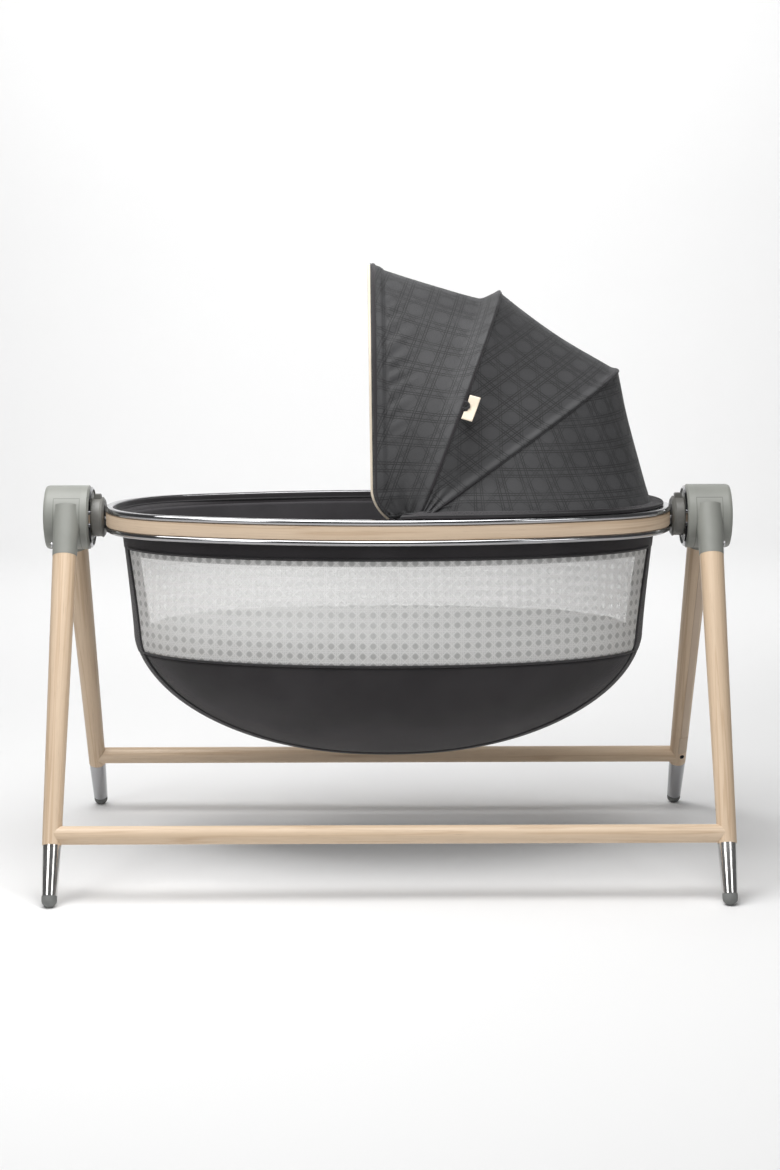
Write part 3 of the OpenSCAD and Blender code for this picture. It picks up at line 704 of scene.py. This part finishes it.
def make_windows():
    """Mesh windows, which hang from the border and stop at the belly."""
    heights = np.linspace(MESH_TOP + 0.002, MESH_LOW - 0.002, 34)
    for part, node in (("front", "mesh_wall"), ("rear", None)):
        points, uv = wall(heights, PARTS[part], 150,
                          ripple=lambda turn, z: 0.0009 * math.sin(turn * 9) * math.sin((z - MESH_LOW) * 18))
        stretched(f"MeshWindow{part.title()}", points, uv, "mesh",
                  node=node)


def make_border():
    """The dark border above the windows, folded out over the ring's inner edge."""
    heights = np.linspace(MESH_TOP - 0.003, BORDER_TOP - 0.003, 12)
    upright, _ = wall(heights, PARTS["round"], AROUND)
    edge, _ = ring_line(721, inset=RAIL_W + 0.0012)
    turns, edge_turns = (np.unwrap(np.arctan2(line[:, 1] / RING_INNER_B, line[:, 0] / RING_INNER_A))
                         for line in (upright[-1], edge))
    ring_edge = np.stack([np.interp(turns, edge_turns, edge[:, k]) for k in range(2)], axis=1)
    lip = []
    for share, z in ((0.45, 0.5672), (0.85, 0.5695), (1.0, 0.5725), (1.0, 0.5765), (0.97, 0.5798)):
        row = upright[-1].copy()
        row[:, :2] += (ring_edge - row[:, :2]) * share
        row[:, 2] = z
        lip.append(row)
    points = np.concatenate([upright, np.array(lip)])[:, :-1]
    uv = flat_grid(lengths(points[:, 90]), np.linspace(0, 2.15, AROUND))[..., ::-1]
    stretched("BasketBorder", points, uv, "charcoal", 0.0022,
              node="basket_border")


def make_lining():
    """The lining inside the border."""
    heights = np.linspace(BORDER_TOP - 0.002, MESH_TOP - 0.012, 14)
    points, uv = wall(heights, PARTS["round"], AROUND, inset=0.0032)
    stretched("BasketLiner", points[:, :-1], uv, "lining", 0.0012, 1.0)


def make_end_strips():
    """Dark strips down both ends."""
    heights = np.linspace(MESH_TOP - 0.001, MESH_LOW - 0.004, 34)
    for part in ("right", "left"):
        points, uv = wall(heights, PARTS[part], 40, inset=-0.0004)
        stretched(f"EndStrip{part.title()}", points, uv, "charcoal",
                  0.002, 1.0)


def make_belly():
    """The belly, down to its lowest point."""
    heights = meridian(110)
    heights = heights[heights < MESH_LOW + 0.002]
    pull = lambda turn, z: 0.0010 * math.sin(turn * 4 + z * 30) * min(1.0, (z - BASKET_LOW) * 12)
    points, uv = wall(heights, PARTS["round"], AROUND, inset=-0.0004, ripple=pull)
    stretched("BasketBelly", points[:, :-1], uv, "charcoal", 0.0025, 1.0,
              node="basket_belly")


def make_basket_piping():
    """Piped seams along both sides of the keel strip and round the windows, and piping inside the ring."""
    for part, depth in (("Front", -1), ("Rear", 1)):
        down = []
        for z in meridian(120):
            if z < MESH_TOP and half_width(z) > strip_half(z) + 0.0002:
                x, y = oval_point(half_length(z) + 0.0012, half_width(z) + 0.0012, seam_turn(z))
                down.append((x, depth * y, z))
        path = np.array(down + [(-x, y, z) for x, y, z in down[::-1]])
        cord(f"KeelSeam{part}", spaced(path, 320), PIPING_R, "piping", "basket")
    for name, z, radius in (("WindowSeamLow", MESH_LOW, PIPING_R), ("WindowSeamTop", MESH_TOP, 0.0016)):
        for part in ("front", "rear"):
            path = [(*oval_point(half_length(z) + 0.0014, half_width(z) + 0.0014, t), z)
                    for t in np.linspace(*PARTS[part](z), 220)]
            cord(name + part.title(), path, radius, "piping", "basket")
    path, _ = ring_line(AROUND, inset=RAIL_W + 0.0035, z=0.5705)
    cord("InnerPiping", path[:-1], 0.0017, "piping", "basket", closed=True)


# ---- mattress ----

def make_mattress():
    low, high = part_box("mattress")
    a, b = high.x - 0.003, high.y - 0.003
    low_z, high_z = low.z + 0.002, high.z - 0.002
    mid, half = (low_z + high_z) / 2, (high_z - low_z) / 2
    # Rings over the top, round the edge and under the bottom: share of the full size, and height
    shares = (0.0, 0.25, 0.5, 0.72, 0.86, 0.94)
    rows = [(share, 1.0) for share in shares]
    rows += [(0.965 + 0.035 * math.sin(turn), math.cos(turn)) for turn in np.linspace(0, math.pi, 11)]
    rows += [(share, -1.0) for share in shares[::-1]]
    cols = 160
    points = np.zeros((len(rows), cols, 3))
    for i, (share, up) in enumerate(rows):
        for j in range(cols):
            x, y = oval_point(a * max(share, 1e-4), b * max(share, 1e-4), 2 * math.pi * j / cols)
            points[i, j] = (x, y, mid + half * up)
    pad = grid("Mattress", points, np.zeros((len(rows), cols + 1, 2)), wrap=True)
    puff(pad, 0.006, 3.0, 0.005)

    # Quilted top: the ticking is drawn down along a grid of stitches
    mesh = pad.data
    place = np.array([v.co for v in mesh.vertices])
    top = place[:, 2] > mid
    pitch, depth, half_width = 0.056, 0.0030, 0.007
    away = np.minimum(np.abs((place[:, 0] + place[:, 1]) % pitch - pitch / 2),
                      np.abs((place[:, 0] - place[:, 1]) % pitch - pitch / 2))
    flat = np.clip((place[:, 2] - (high_z - 0.008)) / 0.006, 0, 1)
    place[:, 2] -= np.where(top, depth * np.exp(-(away / half_width) ** 2) * flat, 0)
    place[:, 2] = np.clip(place[:, 2], low.z, high.z)
    mesh.vertices.foreach_set("co", place.ravel())
    mesh.update()
    # The ticking's grey is painted shade: a white cover darkened to the shade it lies in inside the basket
    dress(pad, "ticking", "basket", node="mattress")

    for name, z in (("MattressTapeTop", high_z - 0.010), ("MattressTapeLow", low_z + 0.005)):
        path = [(*oval_point(high.x - 0.0015, high.y - 0.0015, t), z)
                for t in np.linspace(0, 2 * math.pi, 240, endpoint=False)]
        cord(name, path, 0.0014, "ticking", "basket", slot="mattress_fabric", closed=True)


def puff(obj, voxel, pressure, cap):
    """Fills a pad with a cloth simulation; no point moves further than cap."""
    modify(obj, "REMESH", mode="VOXEL", voxel_size=voxel, use_smooth_shade=True)
    apply_modifiers(obj)
    start = np.array([v.co for v in obj.data.vertices])
    cloth = modify(obj, "CLOTH")
    cloth.settings.use_pressure = True
    cloth.settings.uniform_pressure_force = pressure
    cloth.settings.effector_weights.gravity = 0
    cloth.settings.tension_stiffness = 30
    cloth.settings.compression_stiffness = 30
    cloth.settings.bending_stiffness = 1.0
    cloth.point_cache.frame_start, cloth.point_cache.frame_end = 1, 20
    for step in range(1, 21):
        scene.frame_set(step)
    apply_modifiers(obj)
    scene.frame_set(1)
    end = np.array([v.co for v in obj.data.vertices])
    move = end - start
    far = np.linalg.norm(move, axis=1, keepdims=True)
    end = start + move * np.minimum(1.0, cap / np.maximum(far, 1e-9))
    obj.data.vertices.foreach_set("co", end.ravel())
    modify(obj, "SUBSURF", levels=1, render_levels=1)
    apply_modifiers(obj)
    obj.data.polygons.foreach_set("use_smooth", [True] * len(obj.data.polygons))


def apply_modifiers(obj):
    graph = bpy.context.evaluated_depsgraph_get()
    graph.update()
    mesh = bpy.data.meshes.new_from_object(obj.evaluated_get(graph), depsgraph=graph)
    obj.modifiers.clear()
    obj.data = mesh


# ---- canopy ----

def along(angle):
    """The direction from the pivot along a bow, and in ahead() the one it moves in as it opens."""
    return np.array([math.cos(math.radians(angle)), 0.0, math.sin(math.radians(angle))])


def ahead(angle):
    return np.array([-math.sin(math.radians(angle)), 0.0, math.cos(math.radians(angle))])


def arch_point(bow, t, grow=0.0):
    """A point on a bow; t runs over 0 to pi from the front of the basket to the rear."""
    angle, w, r, shoulder, crown = BOWS[bow]
    rise = max(math.sin(t), 0.0) ** 1.05
    q0 = -(w + grow) * math.copysign(max(1 - rise ** shoulder, 0.0) ** crown, math.cos(t))
    q1 = (r + grow) * rise
    point = PIVOT + np.array([0, q0, 0]) + q1 * along(angle)
    if bow == "front":
        point = point + (r - q1) * ELBOW_R / (r - ELBOW_R) * ahead(angle)
    return point


def bow_path(bow, start, count, grow=0.0):
    """Evenly spaced points along a bow from start round to the far side. start is the distance from the
    pivot, or for the front bow the angle round its elbow, in degrees."""
    angle, w, r, _, _ = BOWS[bow]
    if bow == "front":
        first = math.asin((ELBOW_R / r) ** (1 / 1.05))
        turns = np.radians(np.linspace(start, 84, 14))
        near = [PIVOT + np.array([0, -w - grow, 0])
                + ELBOW_R * ((1 - math.cos(s)) * along(angle) + math.sin(s) * ahead(angle)) for s in turns]
    else:
        first = math.asin((start / r) ** (1 / 1.05))
        near = []
    fine = first + (math.pi - 2 * first) * (1 - np.cos(np.linspace(0, math.pi, 700))) / 2
    points = near + [arch_point(bow, t, grow) for t in fine]
    far = [np.array([p[0], -p[1], p[2]]) for p in near[::-1]]
    return spaced(np.array(points + far), count)


HOOD_MIDDLE = np.array([0.120, 0.0, 0.640])


def outward(points):
    """The direction out of the hood at each point."""
    away = points - HOOD_MIDDLE
    away[..., 1] *= 1.2
    return away / np.linalg.norm(away, axis=-1, keepdims=True)


def hem_path(count):
    """The line where the rear panel meets the hem, from the front of the basket to the rear."""
    points = [(PIVOT[0] + 0.020 + 0.361 * max(math.sin(t), 0) ** 0.9,
               -0.204 * math.copysign(abs(math.cos(t)) ** 0.62, math.cos(t)), 0.5895)
              for t in np.linspace(0, math.pi, 600)]
    points = [(0.020, -0.2065, 0.5885)] + points + [(0.020, 0.2065, 0.5885)]
    return spaced(np.array(points), count)


def crease(u, v):
    """Height of the short pulls that run down and back from the front seam at v = 0."""
    pull = np.sin(2 * math.pi * (u * 0.77 - v * 0.64) / 0.021 + 1.3 * np.sin(u * 21.0) + 0.7 * np.sin(u * 57.0))
    return 0.0017 * pull * np.exp(-(v / 0.030) ** 2) * ease(v, 0.0, 0.008)


def ease(value, low, high):
    """0 below low, 1 above high and smooth between them."""
    share = np.clip((value - low) / (high - low), 0, 1)
    return share * share * (3 - 2 * share)


def rib_path(bow, count, grow):
    """The line of the rib sewn behind a bow."""
    path = bow_path(bow, 0.008, count, grow) - PIVOT
    turn = math.radians(RIB_BACK[bow])
    x, z = path[:, 0].copy(), path[:, 2].copy()
    path[:, 0] = x * math.cos(turn) + z * math.sin(turn)
    path[:, 2] = z * math.cos(turn) - x * math.sin(turn)
    return path + PIVOT


def rows_between(length, rows, fine_low, fine_high):
    """Shares from 0 to 1, closer together within fine_low and fine_high of the ends."""
    at = np.linspace(0, 1, 2001)
    weight = 1 + 4.5 * np.exp(-(at * length / max(fine_low, 1e-4)) ** 2) \
        + 4.5 * np.exp(-((1 - at) * length / max(fine_high, 1e-4)) ** 2)
    run = np.concatenate([[0], np.cumsum((weight[1:] + weight[:-1]) / 2)])
    return np.interp(np.linspace(0, run[-1], rows), run, at)


def make_panel(part, low, high, shape, rows=92):
    """A sheet of the hood from the line low to the line high. shape gives its height over the straight
    surface between them."""
    cols = len(low)
    span = np.linalg.norm(high - low, axis=1)
    hoop = (lengths(low)[-1] + lengths(high)[-1]) / 2
    share = rows_between(float(span.max()), rows, 0.022, 0.022)
    points = low[None] * (1 - share[:, None, None]) + high[None] * share[:, None, None]
    u = ((np.linspace(0, 1, cols) - 0.5) * hoop)[None, :] * np.ones((rows, 1))
    v = share[:, None] * span[None, :]
    w = span[None, :] - v
    end = np.minimum(u + hoop / 2, hoop / 2 - u)
    ridge = np.clip((np.sin(np.linspace(0, math.pi, cols)) - 0.04) / 0.96, 0, 1)[None, :] ** 0.9
    ridge = ridge * np.minimum(1.0, span / 0.17)[None, :]
    height = shape(u, v, w, share[:, None] * np.ones((1, cols)), ridge, end)
    points = points + outward(points) * height[..., None]
    uv = np.stack([u, v - span.max() / 2], axis=-1)
    panel = grid(f"CanopyPanel{part.title()}", points, uv)
    modify(panel, "SOLIDIFY", thickness=0.0011, offset=-1.0)
    paint(panel, LOOKS["cane"])
    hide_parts(f"canopy_panel_{part}")
    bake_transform(panel)
    return points


def dip(share, peak):
    """A hollow that is 1 deep at peak and 0 at both ends."""
    p, q = peak * 2.6, (1 - peak) * 2.6
    return share ** p * (1 - share) ** q / (peak ** p * (1 - peak) ** q)


def slack(share, end, count):
    """Folds where the cloth gathers towards the pivots."""
    fold = np.sin(share * count * 2 * math.pi + 0.6) * np.sin(share * math.pi)
    return 0.0030 * np.exp(-(end / 0.045) ** 2) * fold * ease(end, 0.0, 0.014)


def swell(phase, share, depth):
    """A shallow wave that fades towards both seams."""
    return depth * np.sin(phase) * np.sin(share * math.pi)


def rib_bump(v, ridge, height):
    """The rise of the cloth over the rib at v = 0."""
    return (height + 0.0012 * ridge) * np.exp(-((v - 0.0030) / 0.0058) ** 2) * ease(v, -0.0006, 0.0016)


# The panels' heights over the straight surface: u runs along the seam, v from the seam behind, w from the
# one in front, share is v's part of the whole, ridge is 1 at the top and end is the distance from a foot.

def front_shape(u, v, w, share, ridge, end):
    edge = 0.0062 * ease(w, -0.002, 0.001) - 0.0046 * ease(w, 0.0150, 0.0215)
    behind = 1 - np.clip((share - 0.2) / 0.8, 0, 1) ** 1.6
    sag = (0.0015 + 0.0150 * ridge ** 1.5) * ease(v, 0.001, 0.036) * behind
    folds = slack(share, end, 3.3) + swell(u * 23 + share * 4, share, 0.0011)
    near = np.clip(1.3 - np.abs(np.abs(u) - 0.20) / 0.13, 0, 1)
    return edge * share ** 2 + rib_bump(v, ridge, 0.0022) - sag + folds + crease(u, w - 0.021) * near


def middle_shape(u, v, w, share, ridge, end):
    edge = 0.0008 * ease(w, 0.0, 0.004)
    sag = 0.0056 * ridge * dip(share, 0.6) + 0.0008 * ease(v, 0.003, 0.015) * (1 - share)
    folds = slack(share, end, 2.6) + swell(u * 19 - share * 5, share, 0.0009)
    return rib_bump(v, ridge, 0.0020) - edge - sag + folds


def rear_shape(u, v, w, share, ridge, end):
    edge = 0.0014 * ease(w, 0.0, 0.004) * (1 - share * 0.2)
    sag = 0.0025 * dip(share, 0.5) * ridge
    return slack(share, end, 2.2) + swell(u * 17 + share * 6, share, 0.0008) - edge - sag


def make_canopy():
    count = 261
    front = bow_path("front", 44, count)
    lip = front - 0.0030 * across_bow(front)
    middle_rib, rear_rib = rib_path("middle", count, 0.0022), rib_path("rear", count, 0.0036)
    hem = hem_path(count)
    sheet = make_panel("front", middle_rib, lip, front_shape)
    make_panel("middle", rear_rib, middle_rib, middle_shape)
    make_panel("rear", hem, rear_rib, rear_shape)
    make_bow_covers(middle_rib, rear_rib)
    make_front_edge(front, lip, middle_rib, sheet)
    make_hem(hem)


def make_bow_covers(middle_rib, rear_rib):
    """Piped ribs on the seams, and inside the hood the sleeves that hold the bows."""
    for bow, path in (("middle", middle_rib), ("rear", rear_rib)):
        cord(f"BowPiping{bow.title()}", path + outward(path) * 0.0001, 0.0011, "piping", f"bow_{bow}",
             taper=0.01)
    for bow, start in (("front", 48), ("middle", 0.050), ("rear", 0.050)):
        path = bow_path(bow, start, 200)
        cord(f"BowSleeve{bow.title()}", path, 0.0041, "charcoal", f"bow_{bow}", 16, first=outward(path[:1])[0])


def make_front_edge(front, lip, middle_rib, sheet):
    """Cream piping round the lip, and the stitched seam behind the front channel."""
    out = outward(front)
    cord("FrontPiping", lip - 0.0030 * across_bow(front) + 0.0016 * out, 0.0030, "cream", "bow_front", 14)
    from_lip = np.linalg.norm(sheet[::-1] - sheet[-1], axis=2)
    index = np.arange(len(front))
    row = np.array([np.interp(SEAM_FROM_LIP, from_lip[:, j], np.arange(len(sheet))[::-1]) for j in index])
    whole = np.clip(row.astype(int), 0, len(sheet) - 2)
    part = (row - whole)[:, None]
    seam = sheet[whole, index] * (1 - part) + sheet[whole + 1, index] * part
    wide = np.linalg.norm(lip - middle_rib, axis=1) > 0.035
    stitches(seam[wide] + out[wide] * 0.0003, out[wide])


def across_bow(path):
    """The direction across the front bow, towards the rear of the hood."""
    ahead_ = directions(path)
    back = np.cross(ahead_, outward(path))
    back /= np.linalg.norm(back, axis=1)[:, None]
    return back * np.where(back[:, :1] < 0, -1.0, 1.0)


def stitches(path, up):
    """A row of separate stitches along the seam behind the front channel."""
    pitch, radius = 0.0042, 0.00045
    at = lengths(path)
    count = int(at[-1] / pitch)
    verts, faces = [], []
    for k in range(count):
        line = along_path(path, at, [(k + 0.2) * pitch, (k + 0.5) * pitch, (k + 0.8) * pitch])
        lift = np.array(up[min(len(up) - 1, int(len(up) * k / count))])
        line[1] += lift * radius * 0.8
        d = line[2] - line[0]
        d /= np.linalg.norm(d)
        side = np.cross(d, lift)
        for p, scale in zip(line, (0.6, 1.0, 0.6)):
            for turn in range(6):
                angle = turn * math.pi / 3
                verts.append(p + radius * scale * (math.cos(angle) * side + math.sin(angle) * lift))
        base = k * 18
        for ring in range(2):
            for turn in range(6):
                a, b = base + ring * 6 + turn, base + ring * 6 + (turn + 1) % 6
                faces.append((a, b, b + 6, a + 6))
    dress(solid("FrontSeamStitches", verts, faces), "thread", "bow_front")


def make_hem(hem):
    """The hem that lies on the ring, with a fold of cloth rising to the rear panel."""
    ring, _ = ring_line(2001, inset=0.0045)
    right = ring[ring[:, 0] > 0.016]
    order = np.argsort(np.arctan2(right[:, 1] / RING_B, right[:, 0] / RING_A))
    right = spaced(right[order], len(hem))
    right[:, 0] -= 0.0085 * ease(right[:, 0], 0.22, 0.45)
    end = np.minimum(lengths(hem), lengths(hem)[-1] - lengths(hem))
    lift = 0.25 + 0.75 * ease(end, 0.0, 0.035)
    rows = []
    # From its inner edge over the ring to its outer edge: share of the way out, and height
    for share, z in ((-0.16, 0.5912), (0.0, 0.5900), (0.25, 0.5892), (0.5, 0.5880), (0.75, 0.5868),
                     (0.92, 0.5860), (1.0, 0.5845), (0.985, 0.5826)):
        row = hem * (1 - share) + right * share
        row[:, 2] = HEM_FOOT + (z - HEM_FOOT) * lift
        rows.append(row)
    points = np.array(rows)
    run = lengths(points[4])
    down = lengths(points[:, len(hem) // 2])
    stretched("CanopyHem", points, flat_grid(down, run)[..., ::-1],
              "charcoal", 0.0016, node="canopy_hem")
    cord("HemPiping", points[5] + np.array([0, 0, 0.0006]), 0.0016, "piping", "basket")


def make_tag():
    """A blank cloth tag with a hanging loop, sewn to the middle rib."""
    rib = rib_path("middle", 261, 0.0030)
    k = 53  # the rib's point at the tag's middle
    out = outward(rib[k:k + 1])[0]
    up = rib[k + 4] - rib[k - 4]
    up /= np.linalg.norm(up)
    side = np.cross(up, out)
    side *= math.copysign(1.0, side[0]) / np.linalg.norm(side)
    width, length = 0.0175, 0.0405
    rows, cols = 17, 12
    points, uv = np.zeros((rows, cols, 3)), np.zeros((rows, cols, 2))
    for i in range(rows):
        for j in range(cols):
            s, w = i / (rows - 1) - 0.5, j / (cols - 1)
            # A notch in the sewn edge leaves room for the loop
            inner = 0.0045 * float(ease(np.array(0.20 - abs(s - 0.05)), 0.0, 0.02))
            curl = 0.0022 * w - 0.0012 * math.cos(s * 5)
            out_by = inner + (width - inner) * w + 0.0050
            points[i, j] = rib[k] + up * (length * s) + side * out_by + out * (0.0036 + curl)
            uv[i, j] = (width * w, length * s)
    tag = grid("CanopyTag", points, uv)
    modify(tag, "SOLIDIFY", thickness=0.0007, offset=0.0)
    dress(tag, "cream", "bow_middle")
    loop = [rib[k] + up * (0.0020 + 0.0056 * math.cos(a)) + side * (0.0006 + 0.0100 * math.sin(a))
            + out * (0.0052 + 0.0006 * math.sin(2 * a)) for a in np.linspace(0, math.pi, 14)]
    cord("TagLoop", loop, 0.0012, "piping", "bow_middle")


# ---- the scene ----

make_camera()
make_studio()

LOOKS = {
    "chrome": chrome_look("PolishedMetal", (0.4, 0.4, 0.41), 0.09),
    # A brighter copy of the chrome for the front foot sleeves: painted light, since the rear sleeves stand in
    # shade
    "sleeve": chrome_look("SleeveMetalLitCopy", (0.82, 0.81, 0.8), 0.17),
    "steel": chrome_look("ZincSteel", (0.56, 0.56, 0.57), 0.32),
    "coated": chrome_look("CoatedWire", (0.055, 0.055, 0.057), 0.4),
    "copper": chrome_look("CopperWinding", (0.72, 0.42, 0.22), 0.35),
    "rubber": plastic_look("FootRubber", (0.2, 0.205, 0.2), (0.14, 0.145, 0.14), 0.72, 0.0001),
    "hub": hub_look(),
    "hub_light": plastic_look("HubFacePlastic", (0.272, 0.278, 0.254), (0.25, 0.256, 0.233), 0.42),
    "coupling": plastic_look("CouplingPlastic", (0.165, 0.162, 0.15), (0.145, 0.142, 0.13), 0.42),
    "board": plastic_look("CircuitBoard", (0.02, 0.16, 0.07), (0.02, 0.1, 0.05), 0.35),
    "dark_plastic": plastic_look("DarkPlastic", (0.045, 0.045, 0.048), (0.03, 0.03, 0.032), 0.45),
    "charcoal": charcoal_look("CharcoalFabric", (0.03, 0.0275, 0.03)),
    "cane": charcoal_look("CanePatternFabric", (0.04, 0.04, 0.042), cane=True),
    "lining": charcoal_look("LiningFabric", (0.052, 0.049, 0.053)),
    "piping": charcoal_look("DarkPiping", (0.03, 0.029, 0.031)),
    "cream": charcoal_look("CreamPiping", (0.7, 0.61, 0.49)),
    "thread": charcoal_look("DarkThread", (0.06, 0.06, 0.062)),
    "mesh": cane_mesh_look(),
    # Painted shade: the mattress ticking is darkened from white to grey for the shade inside the basket
    "ticking": charcoal_look("MattressTickingShaded", (0.25, 0.255, 0.25)),
    "cable_cover": plastic_look("CableCoverPlastic", (0.58, 0.46, 0.35), (0.53, 0.41, 0.31), 0.5),
    "fibre": plastic_look("FibreBoard", (0.3, 0.2, 0.12), (0.24, 0.16, 0.09), 0.75, 0.0001),
}
make_stand()
make_ring()
make_windows()
make_border()
make_lining()
make_end_strips()
make_belly()
make_basket_piping()
make_mattress()
make_canopy()
make_tag()
